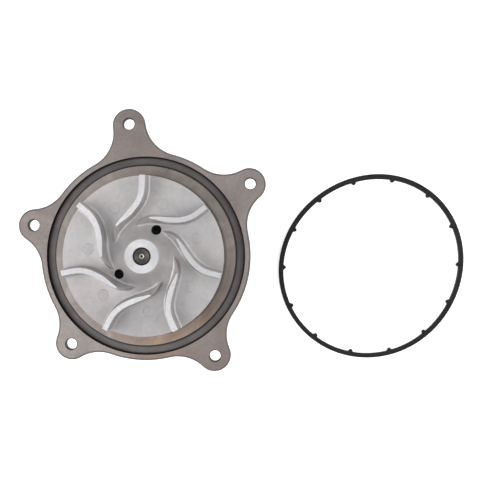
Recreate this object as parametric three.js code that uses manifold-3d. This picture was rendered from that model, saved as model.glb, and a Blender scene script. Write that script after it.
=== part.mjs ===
// Engine coolant pump: cast-iron housing with five bolt ears, closed-back seven-vane impeller,
// integral shaft bearing, mechanical shaft seal and pulley hub, with its loose flange seal ring.
// Millimetres. +Z runs along the shaft from the pulley hub to the impeller.
// The origin is on the shaft's axis, in the plane of the pulley hub's front face.

import * as THREE from 'three';
import { mergeVertices } from 'three/addons/utils/BufferGeometryUtils.js';
import Module from 'manifold-3d';

const wasm = await Module();
wasm.setup();

// ---- driving dimensions ------------------------------------------------------------------

const CLEARANCE = 0.3;            // gap between pieces that touch on the real pump
const BIG_SEGMENTS = 48;
const HUB_SEGMENTS = 36;
const MID_SEGMENTS = 20;
const HOLE_SEGMENTS = 12;
const SMALL_SEGMENTS = 10;

const SHAFT_R = 8;                // in the hub, the bearing and the seal
const SHAFT_END_R = 6.35;         // in the impeller
const SHAFT_TOP_Z = 83;
const SHAFT_CENTRE = { r: 1.6, depth: 2.6 };   // centre drilling at the impeller end

const HUB = { flangeR: 38, flangeThick: 8, barrelR: 12.5, topZ: 15.3, boltCircleR: 28.5, tapR: 4.25 };

const FLANGE = { faceZ: 50, thick: 12, baseR: 81 };
const GROOVE = { innerR: 69.3, outerR: 76.3, depth: 4 };
const EAR = { thick: 7, tipR: 12.9, setback: 0.9, filletR: 28, holeR: 4.4, padR: 10.5, padThick: 1 };
const BACK_RING = { footR: 79.6, rootR: 80.4 };  // thicker ring behind the flange, drafted towards the back
const EARS = [                    // bolt hole distance from the axis, and its direction
  { r: 97.9, deg: 34.6 },
  { r: 102.6, deg: 97.4 },
  { r: 89.7, deg: 164.8 },
  { r: 89.3, deg: 229.8 },
  { r: 94.0, deg: 304.6 },
];

const SNOUT = { bottomZ: 12, outerR: 26, rootR: 27.5 };
const BOSS = { topZ: 63.8, topR: 53, footR: 57, roofZ: 55 };
const RIB = { thick: 5, bottomZ: 18 };
const WEEP = { r: 1.6, z: 51.4, deg: 270 };
const WEB = { bottomZ: 46, topZ: 49.5, holeR: 12 };

const BEARING = { bottomZ: 15.7, topZ: 45.7, outerR: 19.05, innerR: 13.05 };
const BALLS = { count: 8, r: 3.2, pitchR: 10.9, z: 38 };
const ROLLERS = { count: 10, r: 2.2, pitchR: 10.5, z: 24, length: 8.5 };
const SNAP_RING = { bottomZ: 13.5, thick: 1.7, innerR: 17.4, outerR: 20.4, gapDeg: 24 };

const SEAL_BORE_R = 18.6;
const SEAL_CUP = { floorZ: 53, lipZ: BOSS.topZ + CLEARANCE, lipR: 21.5, wall: 0.9 };
const SPRING = { coilR: 15.2, wireR: 0.7, bottomZ: 54.9, topZ: 60.7, turns: 3.5 };

const IMPELLER = { rimR: 60.7, backZ: 66.3, rimZ: 70.3, faceZ: 83.5, faceR: 12.5, recessR: 15, recessZ: 72.3 };
const PULLER = { pitchR: 22.1, r: 3.6, vaneSteps: [0, 3], pastTipDeg: 25 };
const VANE = { count: 7, firstTipDeg: 37.7, topZ: 87.5, topHalf: 1.8, rootHalf: 2.8, rampFrom: 0.74 };
const VANE_PATH = [               // centre line: distance from the axis, degrees past the tip
  [60.3, 0], [50, 0.2], [44, 1.9], [38.5, 6.5], [33, 17], [29.2, 33], [26.8, 48], [24, 64.5],
];

const SEAL_RING = { x: 180.4, y: -9.1, meanR: 75.2, width: 3.5, height: 4.5 };
const RING_OVAL = { size: 2.5, deg: 42 };       // the free ring lies slightly oval
const RING_LOBES = { size: 0.4, deg: 52 };
const NUBS = { count: 14, height: 2, topHalfDeg: 0.6, rootHalfDeg: 1.8 };

// ---- geometry helpers ---------------------------------------------------------------------

const radians = THREE.MathUtils.degToRad;
const polar = (r, deg) => [r * Math.cos(radians(deg)), r * Math.sin(radians(deg))];

function toSolid(geometry) {
  const bare = geometry.clone();
  bare.deleteAttribute('normal');
  bare.deleteAttribute('uv');
  const merged = mergeVertices(bare, 1e-4);
  const vertProperties = new Float32Array(merged.attributes.position.array);
  const triVerts = new Uint32Array(merged.index.array);
  if (signedVolume(vertProperties, triVerts) < 0) triVerts.reverse();
  return new wasm.Manifold(new wasm.Mesh({ numProp: 3, vertProperties, triVerts }));
}

function signedVolume(positions, indices) {
  const [a, b, c] = [new THREE.Vector3(), new THREE.Vector3(), new THREE.Vector3()];
  let total = 0;
  for (let i = 0; i < indices.length; i += 3) {
    a.fromArray(positions, 3 * indices[i]);
    b.fromArray(positions, 3 * indices[i + 1]);
    c.fromArray(positions, 3 * indices[i + 2]);
    total += a.dot(b.cross(c)) / 6;
  }
  return total;
}

function toGeometry(solid) {
  const mesh = solid.getMesh();
  const geometry = new THREE.BufferGeometry();
  geometry.setAttribute('position', new THREE.BufferAttribute(mesh.vertProperties, 3));
  geometry.setIndex(new THREE.BufferAttribute(mesh.triVerts, 1));
  return geometry;
}

const joinAll = (solids) => solids.reduce((whole, piece) => whole.add(piece));
const cutAll = (solid, tools) => tools.reduce((whole, tool) => whole.subtract(tool), solid);

// A solid of revolution about Z from [radius, height] points, closed on itself unless it ends on the axis.
function turned(profile, segments = MID_SEGMENTS) {
  const points = profile.map(([r, z]) => new THREE.Vector2(r, z));
  const onAxis = points[0].x === 0 && points[points.length - 1].x === 0;
  if (!onAxis) points.push(points[0].clone());
  return toSolid(new THREE.LatheGeometry(points, segments).rotateX(Math.PI / 2));
}

// A plain ring or tube between two radii and two heights.
function tubeRing(innerR, outerR, bottomZ, topZ, segments = MID_SEGMENTS) {
  return turned([[innerR, bottomZ], [outerR, bottomZ], [outerR, topZ], [innerR, topZ]], segments);
}

function rod(r, bottomZ, topZ, [x, y] = [0, 0], segments = HOLE_SEGMENTS) {
  const geometry = new THREE.CylinderGeometry(r, r, topZ - bottomZ, segments);
  geometry.rotateX(Math.PI / 2).translate(x, y, (bottomZ + topZ) / 2);
  return toSolid(geometry);
}

function extruded(shape, bottomZ, topZ, curveSegments = 4) {
  const options = { depth: topZ - bottomZ, bevelEnabled: false, curveSegments };
  return toSolid(new THREE.ExtrudeGeometry(shape, options).translate(0, 0, bottomZ));
}

// A circular arc of [radius, height] points, for raceways.
function arcPoints(centreR, centreZ, r, fromDeg, toDeg, steps) {
  return Array.from({ length: steps + 1 }, (_, i) => {
    const [dr, dz] = polar(r, fromDeg + ((toDeg - fromDeg) * i) / steps);
    return [centreR + dr, centreZ + dz];
  });
}

// ---- housing ------------------------------------------------------------------------------

// The angle, seen from the axis, between an ear and the centre of the hollow fillet beside it.
function filletSpread({ r }) {
  const tipDistance = r - EAR.setback;
  const filletDistance = FLANGE.baseR + EAR.filletR;
  const reach = EAR.tipR + EAR.filletR;
  return Math.acos(
    (tipDistance ** 2 + filletDistance ** 2 - reach ** 2) / (2 * tipDistance * filletDistance),
  );
}

// Round flange with ears: each ear's round tip runs into the base circle through two hollow fillets.
function flangeOutline() {
  const shape = new THREE.Shape();
  const point = (r, angle) => new THREE.Vector2(r * Math.cos(angle), r * Math.sin(angle));
  EARS.forEach((ear, i) => {
    const axis = radians(ear.deg);
    const spread = filletSpread(ear);
    const tip = point(ear.r - EAR.setback, axis);
    const before = point(FLANGE.baseR + EAR.filletR, axis - spread);
    const after = point(FLANGE.baseR + EAR.filletR, axis + spread);
    const fromBefore = tip.clone().sub(before).angle();
    const fromAfter = tip.clone().sub(after).angle();
    const nextEar = EARS[(i + 1) % EARS.length];
    const nextStart = radians(nextEar.deg) - filletSpread(nextEar);
    shape.absarc(before.x, before.y, EAR.filletR, axis - spread + Math.PI, fromBefore, true);
    shape.absarc(tip.x, tip.y, EAR.tipR, fromBefore + Math.PI, fromAfter + Math.PI, false);
    shape.absarc(after.x, after.y, EAR.filletR, fromAfter, axis + spread + Math.PI, true);
    shape.absarc(0, 0, FLANGE.baseR, axis + spread, nextStart, false);
  });
  return shape;
}

function circleHole(r, segments) {
  const points = Array.from({ length: segments }, (_, i) => {
    const [x, y] = polar(r, (-360 * i) / segments);
    return new THREE.Vector2(x, y);
  });
  return new THREE.Path(points);
}

// Snout, web, seal bore, dished roof and the inner edge of the flange, as one turned casting.
function housingCore() {
  const flangeBack = FLANGE.faceZ - FLANGE.thick;
  const bore = BEARING.outerR + CLEARANCE;
  const slot = { from: SNAP_RING.bottomZ - CLEARANCE, to: SNAP_RING.bottomZ + SNAP_RING.thick + CLEARANCE };
  return turned([
    [bore, SNOUT.bottomZ],
    [SNOUT.outerR, SNOUT.bottomZ],
    [SNOUT.rootR - 1, BOSS.roofZ - 3],
    [SNOUT.rootR + 2, BOSS.roofZ],
    [46, BOSS.roofZ],
    [49, BOSS.roofZ - 3],
    [52, flangeBack],
    [62, flangeBack],
    [62, FLANGE.faceZ],
    [BOSS.footR + 1.5, FLANGE.faceZ],
    [BOSS.footR - 1, FLANGE.faceZ + 2],
    [BOSS.topR, BOSS.topZ - 1],
    [BOSS.topR - 1, BOSS.topZ],
    [SEAL_BORE_R, BOSS.topZ],
    [SEAL_BORE_R, WEB.topZ],
    [WEB.holeR, WEB.topZ],
    [WEB.holeR, WEB.bottomZ],
    [bore, WEB.bottomZ],
    [bore, slot.to],
    [SNAP_RING.outerR + CLEARANCE, slot.to],
    [SNAP_RING.outerR + CLEARANCE, slot.from],
    [bore, slot.from],
  ], BIG_SEGMENTS);
}

// The flange: a plate with the ears, and a thicker ring behind it.
function flangePlate() {
  const innerR = 59;
  const backZ = FLANGE.faceZ - FLANGE.thick;
  const plateBackZ = FLANGE.faceZ - EAR.thick;
  const outline = flangeOutline();
  outline.holes.push(circleHole(innerR, HUB_SEGMENTS));
  const plate = extruded(outline, plateBackZ, FLANGE.faceZ);
  const ring = turned([
    [innerR, backZ], [BACK_RING.footR, backZ], [BACK_RING.rootR, plateBackZ], [BACK_RING.rootR, plateBackZ + 1],
    [innerR, plateBackZ + 1],
  ], BIG_SEGMENTS);
  return plate.add(ring);
}

// A web between the snout and the flange's inner wall, under the roof.
function rib(deg) {
  const shape = new THREE.Shape([
    [SNOUT.outerR - 1, RIB.bottomZ], [SNOUT.outerR + 2, RIB.bottomZ],
    [52.5, FLANGE.faceZ - FLANGE.thick + 1], [49.5, BOSS.roofZ + 1], [SNOUT.outerR - 1, BOSS.roofZ + 1],
  ].map(([r, z]) => new THREE.Vector2(r, z)));
  const geometry = new THREE.ExtrudeGeometry(shape, { depth: RIB.thick, bevelEnabled: false });
  geometry.translate(0, 0, -RIB.thick / 2).rotateX(Math.PI / 2).rotateZ(radians(deg));
  return toSolid(geometry);
}

function weepHole() {
  const geometry = new THREE.CylinderGeometry(WEEP.r, WEEP.r, 14, SMALL_SEGMENTS);
  geometry.rotateZ(Math.PI / 2).translate(SEAL_BORE_R + 5, 0, WEEP.z).rotateZ(radians(WEEP.deg));
  return toSolid(geometry);
}

function housing() {
  const earBack = FLANGE.faceZ - EAR.thick;
  const pads = EARS.map(({ r, deg }) =>
    rod(EAR.padR, earBack - EAR.padThick, earBack + 1, polar(r, deg), MID_SEGMENTS));
  const ribs = EARS.map(({ deg }) => rib(deg));
  const boltHoles = EARS.map(({ r, deg }) =>
    rod(EAR.holeR, earBack - 5, FLANGE.faceZ + 5, polar(r, deg)));
  const groove = tubeRing(
    GROOVE.innerR, GROOVE.outerR, FLANGE.faceZ - GROOVE.depth, FLANGE.faceZ + 1, BIG_SEGMENTS);
  const casting = joinAll([housingCore(), flangePlate(), ...pads, ...ribs]);
  return cutAll(casting, [...boltHoles, groove, weepHole()]);
}

// ---- shaft and hub ------------------------------------------------------------------------

function shaft() {
  const raceway = arcPoints(BALLS.pitchR, BALLS.z, BALLS.r + CLEARANCE, 208, 152, 4);
  return turned([
    [0, 0], [SHAFT_R - 1, 0], [SHAFT_R, 1],
    ...raceway.map(([r, z]) => [Math.min(r, SHAFT_R), z]),
    [SHAFT_R, 65.6], [SHAFT_END_R, 66.2], [SHAFT_END_R, SHAFT_TOP_Z - 0.6], [SHAFT_END_R - 0.6, SHAFT_TOP_Z],
    [SHAFT_CENTRE.r, SHAFT_TOP_Z], [0, SHAFT_TOP_Z - SHAFT_CENTRE.depth],
  ]);
}

function pulleyHub() {
  const bore = SHAFT_R + CLEARANCE;
  const blank = turned([
    [bore + 0.6, 0], [HUB.flangeR - 1, 0], [HUB.flangeR, 1], [HUB.flangeR, HUB.flangeThick - 1],
    [HUB.flangeR - 1, HUB.flangeThick], [HUB.barrelR + 2.5, HUB.flangeThick],
    [HUB.barrelR, HUB.flangeThick + 2.5], [HUB.barrelR, HUB.topZ - 0.6], [HUB.barrelR - 0.6, HUB.topZ],
    [bore, HUB.topZ], [bore, 0.6],
  ], HUB_SEGMENTS);
  const taps = [45, 135, 225, 315].map((deg) =>
    rod(HUB.tapR, -1, HUB.flangeThick + 1, polar(HUB.boltCircleR, deg)));
  return cutAll(blank, taps);
}

// ---- bearing ------------------------------------------------------------------------------

function bearingOuterRing() {
  const chamfer = 0.8;
  const raceway = arcPoints(BALLS.pitchR, BALLS.z, BALLS.r + CLEARANCE, 52, -52, 4);
  return turned([
    [BEARING.innerR, BEARING.bottomZ], [BEARING.outerR - chamfer, BEARING.bottomZ],
    [BEARING.outerR, BEARING.bottomZ + chamfer], [BEARING.outerR, BEARING.topZ - chamfer],
    [BEARING.outerR - chamfer, BEARING.topZ], [BEARING.innerR, BEARING.topZ],
    ...raceway.filter(([r]) => r > BEARING.innerR),
  ]);
}

function placesAround({ count, pitchR }) {
  return Array.from({ length: count }, (_, i) => polar(pitchR, (360 * i) / count));
}

function ballSolid([x, y]) {
  return toSolid(new THREE.SphereGeometry(BALLS.r, 8, 6).rotateX(Math.PI / 2).translate(x, y, BALLS.z));
}

// A ring with one round window, drilled square to the axis, for each ball.
function ballCage() {
  const half = BALLS.r + 1.1;
  const windowR = BALLS.r + CLEARANCE;
  const blank = tubeRing(BALLS.pitchR - 1, BALLS.pitchR + 1, BALLS.z - half, BALLS.z + half);
  const windows = Array.from({ length: BALLS.count }, (_, i) => {
    const geometry = new THREE.CylinderGeometry(windowR, windowR, 6, SMALL_SEGMENTS);
    geometry.rotateZ(Math.PI / 2).translate(BALLS.pitchR, 0, BALLS.z);
    return toSolid(geometry.rotateZ((2 * Math.PI * i) / BALLS.count));
  });
  return cutAll(blank, windows);
}

function rollerSolid(r, length, place) {
  return rod(r, ROLLERS.z - length / 2, ROLLERS.z + length / 2, place, SMALL_SEGMENTS);
}

function rollerCage() {
  const half = ROLLERS.length / 2 + 1.3;
  const blank = tubeRing(ROLLERS.pitchR - 0.9, ROLLERS.pitchR + 0.9, ROLLERS.z - half, ROLLERS.z + half);
  const windowLength = ROLLERS.length + 2 * CLEARANCE;
  return cutAll(blank, placesAround(ROLLERS).map((place) =>
    rollerSolid(ROLLERS.r + CLEARANCE, windowLength, place)));
}

function bearingSeal(bottomZ) {
  return tubeRing(SHAFT_R + CLEARANCE, BEARING.innerR - CLEARANCE, bottomZ, bottomZ + 1.8);
}

// Open ring with two thickened ends, each with a hole for the pliers.
function snapRing() {
  const { innerR, outerR, gapDeg, bottomZ, thick } = SNAP_RING;
  const half = radians(gapDeg / 2);
  const shape = new THREE.Shape();
  shape.absarc(0, 0, outerR, half, 2 * Math.PI - half, false);
  shape.absarc(0, 0, innerR, 2 * Math.PI - half, half, true);
  shape.closePath();
  const ends = [-1, 1].map((side) => polar(innerR + 0.2, side * (gapDeg / 2 + 6)));
  const lugs = ends.map((place) => rod(1.9, bottomZ, bottomZ + thick, place));
  const holes = ends.map((place) => rod(0.9, bottomZ - 1, bottomZ + thick + 1, place, 8));
  return cutAll(joinAll([extruded(shape, bottomZ, bottomZ + thick, 10), ...lugs]), holes);
}

// ---- shaft seal ---------------------------------------------------------------------------

function slingerRing() {
  const inner = SHAFT_R + CLEARANCE;
  return turned([[inner, 50.2], [10.5, 50.2], [13.6, 51], [13.6, 51.8], [10.5, 52.2], [inner, 52.2]]);
}

function sealCup() {
  const { floorZ, lipZ, lipR, wall } = SEAL_CUP;
  const outer = SEAL_BORE_R - CLEARANCE;
  return turned([
    [10, floorZ], [outer, floorZ], [outer, lipZ], [lipR, lipZ], [lipR, lipZ + wall],
    [outer - wall, lipZ + wall], [outer - wall, floorZ + wall], [10, floorZ + wall],
  ]);
}

function sealBellows() {
  const bottom = SEAL_CUP.floorZ + SEAL_CUP.wall + CLEARANCE;
  const folds = [1, 2].flatMap((i) => [[11.4, bottom + 2.4 * i], [13.4, bottom + 2.4 * i + 1.2]]);
  return turned([
    [9.4, bottom], [13.4, bottom], [13.4, bottom + 1.2], ...folds,
    [13.4, bottom + 6.9], [9.4, bottom + 6.9],
  ]);
}

function sealSpring() {
  const steps = 36;
  const points = Array.from({ length: steps + 1 }, (_, i) => {
    const [x, y] = polar(SPRING.coilR, (360 * SPRING.turns * i) / steps);
    return new THREE.Vector3(x, y, SPRING.bottomZ + ((SPRING.topZ - SPRING.bottomZ) * i) / steps);
  });
  const wire = new THREE.Shape(Array.from({ length: 6 }, (_, i) => {
    const [x, y] = polar(SPRING.wireR, 60 * i);
    return new THREE.Vector2(x, y);
  }));
  const extrudePath = new THREE.CatmullRomCurve3(points);
  return toSolid(new THREE.ExtrudeGeometry(wire, { steps, extrudePath, bevelEnabled: false }));
}

// Sheet-metal plate between the spring and the carbon ring, with a collar that holds the carbon.
function springRetainer() {
  const bottom = 61.7;
  return turned([
    [9.4, bottom], [16.9, bottom], [16.9, bottom + 0.7], [13.6, bottom + 0.7],
    [13.6, bottom + 2.5], [12.8, bottom + 2.5], [12.8, bottom + 0.7], [9.4, bottom + 0.7],
  ]);
}

function carbonFaceRing() {
  return turned([[9.6, 62.7], [12.5, 62.7], [12.5, 65.2], [11.8, 65.9], [9.6, 65.9]]);
}

function ceramicSeatRing() {
  return tubeRing(7.3, 12.6, IMPELLER.backZ - 0.1, 70.1);
}

// Rubber boot that seats the ceramic ring in the impeller's back.
function seatRingBoot() {
  const outer = IMPELLER.recessR - CLEARANCE;
  const top = IMPELLER.recessZ - CLEARANCE;
  return turned([[6.9, 70.4], [12.9, 70.4], [12.9, 66.8], [outer, 66.8], [outer, top], [6.9, top]]);
}

// ---- impeller -----------------------------------------------------------------------------

// The disc's upper surface is nearly flat at the rim and climbs in a hollow curve to the hub.
function impellerDisc() {
  const bore = SHAFT_END_R + CLEARANCE;
  const { rimR, backZ, rimZ, faceZ, faceR, recessR, recessZ } = IMPELLER;
  return turned([
    [bore, recessZ], [recessR, recessZ], [recessR, backZ], [rimR, backZ], [rimR, rimZ],
    [42, 70.6], [30, 71.8], [24, 73.6], [20, 75.9], [16.5, 79.2], [13.8, 82.7], [faceR, faceZ], [bore, faceZ],
  ], BIG_SEGMENTS);
}

// One vane: an S-curved wall, flat on top, whose inner end ramps down to a point on the disc.
function vane(tipDeg) {
  const stations = 13;
  const rootZ = IMPELLER.backZ + 2;
  const rampEndZ = 74;
  const path = new THREE.CatmullRomCurve3(VANE_PATH.map(([r, past]) => {
    const [x, y] = polar(r, tipDeg + past);
    return new THREE.Vector3(x, y, 0);
  }));
  const positions = [];
  for (let i = 0; i < stations; i += 1) {
    const along = i / (stations - 1);
    const ramp = THREE.MathUtils.clamp((along - VANE.rampFrom) / (1 - VANE.rampFrom), 0, 1);
    const point = path.getPointAt(along);
    const tangent = path.getTangentAt(along);
    const topZ = THREE.MathUtils.lerp(VANE.topZ, rampEndZ, ramp ** 0.8);
    const narrowing = 1 - 0.75 * ramp;
    for (const [half, z] of [
      [-VANE.rootHalf, rootZ], [VANE.rootHalf, rootZ], [VANE.topHalf, topZ], [-VANE.topHalf, topZ],
    ]) {
      positions.push(point.x - tangent.y * half * narrowing, point.y + tangent.x * half * narrowing, z);
    }
  }
  const indices = [0, 1, 2, 0, 2, 3];
  for (let i = 0; i < stations - 1; i += 1) {
    for (let side = 0; side < 4; side += 1) {
      const a = 4 * i + side;
      const b = 4 * i + ((side + 1) % 4);
      indices.push(a, a + 4, b, b, a + 4, b + 4);
    }
  }
  const last = 4 * (stations - 1);
  indices.push(last, last + 2, last + 1, last, last + 3, last + 2);
  const geometry = new THREE.BufferGeometry();
  geometry.setAttribute('position', new THREE.Float32BufferAttribute(positions, 3));
  geometry.setIndex(indices);
  return toSolid(geometry);
}

function impeller() {
  const pitch = 360 / VANE.count;
  const vanes = Array.from({ length: VANE.count }, (_, i) => vane(VANE.firstTipDeg + pitch * i));
  const pullerHoles = PULLER.vaneSteps.map((step) => {
    const deg = VANE.firstTipDeg + pitch * step + PULLER.pastTipDeg;
    return rod(PULLER.r, IMPELLER.backZ - 1, VANE.topZ, polar(PULLER.pitchR, deg));
  });
  return cutAll(joinAll([impellerDisc(), ...vanes]), pullerHoles);
}

// ---- flange seal ring ---------------------------------------------------------------------

function ringRadius(deg) {
  return SEAL_RING.meanR
    + RING_OVAL.size * Math.cos(radians(2 * (deg - RING_OVAL.deg)))
    + RING_LOBES.size * Math.cos(radians(3 * (deg - RING_LOBES.deg)));
}

// The direction of a place on the oval, from the direction it has when the ring is pressed round.
function ovalDegrees(deg) {
  const shift = THREE.MathUtils.radToDeg(RING_OVAL.size / (2 * SEAL_RING.meanR));
  return deg - shift * Math.sin(radians(2 * (deg - RING_OVAL.deg)));
}

// Rubber ring with small locating nubs on its inner side, evenly spaced along it.
function flangeSealRing() {
  const pitch = 360 / NUBS.count;
  const { x, y, width, height } = SEAL_RING;
  const at = (deg, inwards) => {
    const place = polar(ringRadius(ovalDegrees(deg)) - inwards, ovalDegrees(deg));
    return new THREE.Vector2(...place).add(new THREE.Vector2(x, y));
  };
  const outline = Array.from({ length: 6 * NUBS.count }, (_, i) => at((pitch * i) / 6, 0));
  const nubProfile = [
    [-NUBS.rootHalfDeg, 0], [-NUBS.topHalfDeg, NUBS.height], [NUBS.topHalfDeg, NUBS.height],
    [NUBS.rootHalfDeg, 0], [pitch / 3, 0], [pitch * 2 / 3, 0],
  ];
  const bore = Array.from({ length: NUBS.count }, (_, i) => pitch * i)
    .flatMap((nub) => nubProfile.map(([past, rise]) => at(nub + past, width + rise)));
  const shape = new THREE.Shape(outline);
  shape.holes.push(new THREE.Path(bore.reverse()));
  return extruded(shape, 0, height);
}

// ---- materials and assembly ---------------------------------------------------------------

const finish = (color, roughness, metalness) => () =>
  new THREE.MeshStandardMaterial({ color, roughness, metalness });

const castIron = finish(0x8d857f, 0.6, 0.7);
const castAluminium = finish(0xb8b4b2, 0.45, 0.8);
const groundSteel = finish(0x55514f, 0.3, 0.9);
const machinedSteel = finish(0x9a9a9c, 0.35, 0.9);
const bearingSteel = finish(0xb4b6ba, 0.2, 1);
const pressedSteel = finish(0xc2bda8, 0.3, 0.9);
const blackRubber = finish(0x262626, 0.8, 0);
const carbon = finish(0x1b1b1d, 0.45, 0.1);
const ceramic = finish(0xe8e4da, 0.35, 0);
const cagePlastic = finish(0x6a5a3c, 0.6, 0);

const pump = new THREE.Group();

function place(name, solid, makeMaterial) {
  const mesh = new THREE.Mesh(toGeometry(solid), makeMaterial());
  mesh.name = name;
  pump.add(mesh);
}

place('pump_housing', housing(), castIron);
place('pump_shaft', shaft(), groundSteel);
place('pulley_hub', pulleyHub(), machinedSteel);
place('impeller', impeller(), castAluminium);

place('bearing_outer_ring', bearingOuterRing(), bearingSteel);
place('bearing_seal_front', bearingSeal(16.1), blackRubber);
place('bearing_seal_rear', bearingSeal(43.3), blackRubber);
place('bearing_snap_ring', snapRing(), groundSteel);
place('ball_cage', ballCage(), cagePlastic);
placesAround(BALLS).forEach((spot, i) => place(`bearing_ball_${i + 1}`, ballSolid(spot), bearingSteel));
place('roller_cage', rollerCage(), cagePlastic);
placesAround(ROLLERS).forEach((spot, i) =>
  place(`bearing_roller_${i + 1}`, rollerSolid(ROLLERS.r, ROLLERS.length, spot), bearingSteel));

place('slinger_ring', slingerRing(), pressedSteel);
place('seal_cup', sealCup(), pressedSteel);
place('seal_bellows', sealBellows(), blackRubber);
place('seal_spring', sealSpring(), groundSteel);
place('spring_retainer', springRetainer(), pressedSteel);
place('carbon_face_ring', carbonFaceRing(), carbon);
place('ceramic_seat_ring', ceramicSeatRing(), ceramic);
place('seat_ring_boot', seatRingBoot(), blackRubber);

place('flange_seal_ring', flangeSealRing(), blackRubber);

export default pump;
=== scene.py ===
"""The looks of an engine coolant pump and its loose flange seal ring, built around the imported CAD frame.

Lengths in this script are millimetres until a mesh is made; meshes, lights and the camera are in metres.
Z runs along the shaft.
"""

import math

import bmesh
import bpy
import numpy as np
from mathutils import Matrix, Vector


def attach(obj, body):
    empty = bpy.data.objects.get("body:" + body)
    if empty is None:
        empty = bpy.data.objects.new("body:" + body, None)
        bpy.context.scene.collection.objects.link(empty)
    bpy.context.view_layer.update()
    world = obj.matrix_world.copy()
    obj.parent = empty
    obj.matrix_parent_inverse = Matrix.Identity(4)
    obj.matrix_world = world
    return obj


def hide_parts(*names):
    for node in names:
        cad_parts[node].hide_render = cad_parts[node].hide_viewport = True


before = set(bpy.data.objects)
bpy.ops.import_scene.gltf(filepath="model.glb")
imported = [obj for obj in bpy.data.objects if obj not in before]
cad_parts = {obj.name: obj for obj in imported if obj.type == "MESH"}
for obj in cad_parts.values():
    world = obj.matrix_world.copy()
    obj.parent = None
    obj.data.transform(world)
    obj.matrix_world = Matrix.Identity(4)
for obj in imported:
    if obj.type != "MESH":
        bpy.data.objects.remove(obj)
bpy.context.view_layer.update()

# ---- dimensions: the CAD model's, and those that only these finer pieces have ----

MM = 0.001

FLANGE_FACE_Z = 50.0
FLANGE_BACK_Z = 38.0
FLANGE_BASE_R = 81.0
GROOVE_INNER_R, GROOVE_OUTER_R, GROOVE_FLOOR_Z = 69.3, 76.3, 46.0
BACK_RING_FOOT_R, BACK_RING_ROOT_R = 79.6, 80.4
EAR_BACK_Z, EAR_TIP_R, EAR_SETBACK, EAR_FILLET_R = 43.0, 12.9, 0.9, 28.0
BOLT_HOLE_R, HOLE_EDGE = 4.25, 0.55  # in CAD the hole is plain, and its radius is 4.4
PAD_R, PAD_THICK = 10.5, 1.0
EARS = [(97.9, 34.6), (102.6, 97.4), (89.7, 164.8), (89.3, 229.8), (94.0, 304.6)]

SNOUT_BOTTOM_Z, SNOUT_R, SNOUT_ROOT_R = 12.0, 26.0, 27.5
BOSS_TOP_Z, BOSS_TOP_R, BOSS_FOOT_R, ROOF_Z = 63.8, 53.0, 57.0, 55.0
WALL_R = 49.5
SEAL_BORE_R, BEARING_BORE_R, WEB_HOLE_R = 18.6, 19.35, 12.0
WEB_BOTTOM_Z, WEB_TOP_Z = 46.0, 49.5
RIB_THICK = 5.0
SLOT_R, SLOT_BOTTOM_Z, SLOT_TOP_Z = 20.7, 13.2, 15.5  # the snap ring's
WEEP_R, WEEP_Z, WEEP_DEG = 1.6, 51.4, 270.0
EDGE_R = 1.4  # worn edge round the flange's machined face

RIM_R, BACK_Z, RIM_Z, HUB_FACE_Z, HUB_FACE_R = 60.7, 66.3, 70.3, 83.5, 12.5
RECESS_R, RECESS_Z = 15.0, 72.3
VANE_COUNT, FIRST_TIP_DEG, VANE_TOP_Z = 7, 37.7, 87.5
VANE_PATH = [  # a vane's centre line: distance from the axis, degrees past its tip
    (62.5, 0), (60.3, 0), (50, 0.2), (44, 1.9), (38.5, 6.5), (33, 17), (29.2, 33), (26.8, 48), (24, 64.5),
]
DISC_CURVE = [  # the disc's upper side, from rim to hub: distance from the axis, height
    (60.7, 70.3), (42, 70.6), (30, 71.8), (24, 73.6), (20, 75.9), (16.5, 79.2), (14, 82.1), (12.6, 83.5),
]
LAND_TAPER, LAND_END = 0.55, 0.79  # where a vane's flat top starts to narrow and ends, along the vane
FOOT_R, FOOT_SHARE, DRAFT = 2.2, 0.42, 0.05  # a vane foot's radius, and its limit as a share of height; draft
MARK_AT_R, MARK_R, MARK_DEPTH, MARK_PAST_TIP_DEG = 42, 3.9, 0.28, 32
PULLER_R, PULLER_VANES, PULLER_PAST_TIP_DEG = 22.1, (0, 3), 25.0
PULLER_BORE_R, PULLER_THREAD_TOP_Z = 3.7, 72.4
PULLER_THREAD = (3.3, 3.9, 1.25)  # core radius, outer radius and pitch of an M8 thread

SHAFT_R, SHAFT_END_R, SHAFT_TOP_Z = 8.0, 6.35, 83.0
FEED, FEED_DEPTH = 0.75, 0.12  # pitch and depth of the turned rings on the shaft's end
CENTRE_R, CENTRE_DEPTH, DRILLING_R = 1.85, 0.22, 1.0
HUB_R, HUB_THICK, HUB_BARREL_R, HUB_TOP_Z, HUB_BOLT_R = 38.0, 8.0, 12.5, 15.3, 28.5
HUB_THREAD = (4.25, 4.95, 1.5)  # M10

RING_CENTRE = (180.4, -9.1)
RING_R, RING_WIDTH, RING_HEIGHT = 75.2, 3.5, 4.5
OVAL_SIZE, OVAL_DEG = 2.5, 42
LOBE_SIZE, LOBE_DEG = 0.4, 52  # a faint three-sided swelling on top of the oval
ROLL_DEG, ROLL_OUT, WIDER, ROLL_WIDER = 95, 0.15, 0.1, 0.3  # where and how far it lies rolled
NUB_COUNT, NUB_HEIGHT, NUB_HALF_DEG = 14, 2.0, 1.9

BEARING_INNER_R, BEARING_OUTER_R, BEARING_BOTTOM_Z, BEARING_TOP_Z = 13.05, 19.05, 15.7, 45.7
BALL_COUNT, BALL_R, BALL_PITCH_R, BALL_Z, RACE_R = 8, 3.2, 10.9, 38.0, 3.5
ROLLER_COUNT, ROLLER_R, ROLLER_PITCH_R, ROLLER_Z, ROLLER_LENGTH = 10, 2.2, 10.5, 24.0, 8.5


# ---- mesh helpers ----


def polar(radius, degrees):
    return radius * math.cos(math.radians(degrees)), radius * math.sin(math.radians(degrees))


def placed(name, data):
    obj = bpy.data.objects.new(name, data)
    bpy.context.scene.collection.objects.link(obj)
    return obj


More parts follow.
